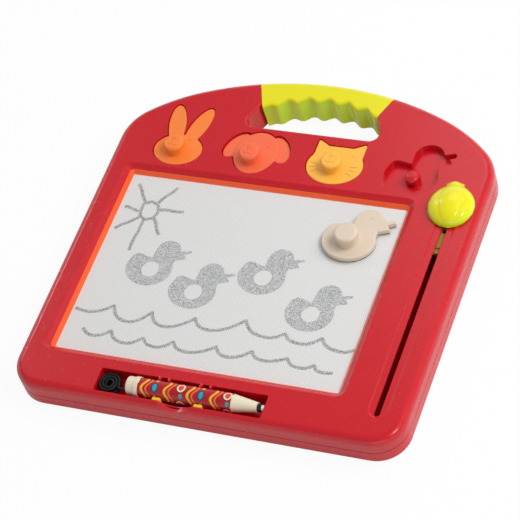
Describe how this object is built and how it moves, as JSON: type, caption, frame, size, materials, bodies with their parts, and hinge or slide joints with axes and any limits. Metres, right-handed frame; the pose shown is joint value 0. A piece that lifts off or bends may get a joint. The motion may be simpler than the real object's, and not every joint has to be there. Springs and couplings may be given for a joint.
{
  "type": "magnetic drawing board",
  "caption": "Plastic magnetic drawing board with a grip, a framed screen, a sliding eraser, magnetic stamps on pegs and a tethered pen in a tray.",
  "frame": {"origin": "under the middle of the case, on the plane that its flat back rests on", "axes": "+X across the board to its right, +Y up the board towards the grip, +Z out of the drawing face"},
  "size_m": [0.3528, 0.3596, 0.0424],
  "materials": {
    "shell": "glossy red moulded plastic",
    "lime": "glossy lime moulded plastic",
    "bezel": "satin orange moulded plastic",
    "screen_film": "pale matt film with fine cells",
    "screen_cells": "pale cell sheet",
    "clip_yellow": "glossy yellow plastic",
    "inner_white": "plain inner plastic",
    "magnet_sheet": "flexible black magnet",
    "magnet_rod": "plain rod magnet",
    "screws": "zinc plated screws",
    "pen_print": "red tube with a printed pattern",
    "pen_cream": "cream moulded plastic",
    "pen_black": "black moulded plastic",
    "pen_nib": "white nib",
    "stamp_orange": "glossy orange plastic",
    "stamp_coral": "glossy coral plastic",
    "stamp_amber": "glossy amber plastic",
    "stamp_cream": "glossy cream plastic",
    "cord": "black braided cord"
  },
  "bodies": {
    "board": {"front_shell": "shell", "back_shell": "shell", "case_screws": "screws", "grip_front": "lime", "grip_back": "lime", "grip_screws": "screws", "screen_bezel": "bezel", "screen_front_film": "screen_film", "screen_cell_sheet": "screen_cells", "screen_back_film": "screen_cells", "pen_clips": "clip_yellow", "tether_anchor": "pen_black", "tether_coil": "cord", "tether_lead_board": "cord", "tether_lead_pen": "cord"},
    "eraser": {"eraser_knob": "lime", "eraser_carriage": "lime", "eraser_bar": "inner_white", "eraser_magnet_strip": "magnet_sheet", "knob_screw": "screws"},
    "stylus": {"stylus_barrel": "pen_print", "stylus_cap": "pen_cream", "stylus_cone": "pen_cream", "stylus_collar": "pen_black", "stylus_nib": "pen_nib", "stylus_magnet": "magnet_rod"},
    "rabbit": {"rabbit_stamp": "stamp_orange", "rabbit_magnet": "magnet_sheet"},
    "dog": {"dog_stamp": "stamp_coral", "dog_magnet": "magnet_sheet"},
    "cat": {"cat_stamp": "stamp_amber", "cat_magnet": "magnet_sheet"},
    "duck": {"duck_stamp": "stamp_cream", "duck_magnet": "magnet_sheet"}
  },
  "joints": [
    {"name": "eraser_slide", "type": "slide", "parent": "board", "child": "eraser", "axis": [0, -1, 0], "range_m": [0, 0.186]},
    {"name": "stylus_lift", "type": "slide", "parent": "board", "child": "stylus", "axis": [0, 0, 1], "range_m": [0, 0.05]},
    {"name": "rabbit_lift", "type": "slide", "parent": "board", "child": "rabbit", "axis": [0, 0, 1], "range_m": [0, 0.04]},
    {"name": "dog_lift", "type": "slide", "parent": "board", "child": "dog", "axis": [0, 0, 1], "range_m": [0, 0.04]},
    {"name": "cat_lift", "type": "slide", "parent": "board", "child": "cat", "axis": [0, 0, 1], "range_m": [0, 0.04]},
    {"name": "duck_lift", "type": "slide", "parent": "board", "child": "duck", "axis": [0, 0, 1], "range_m": [0, 0.04]}
  ]
}
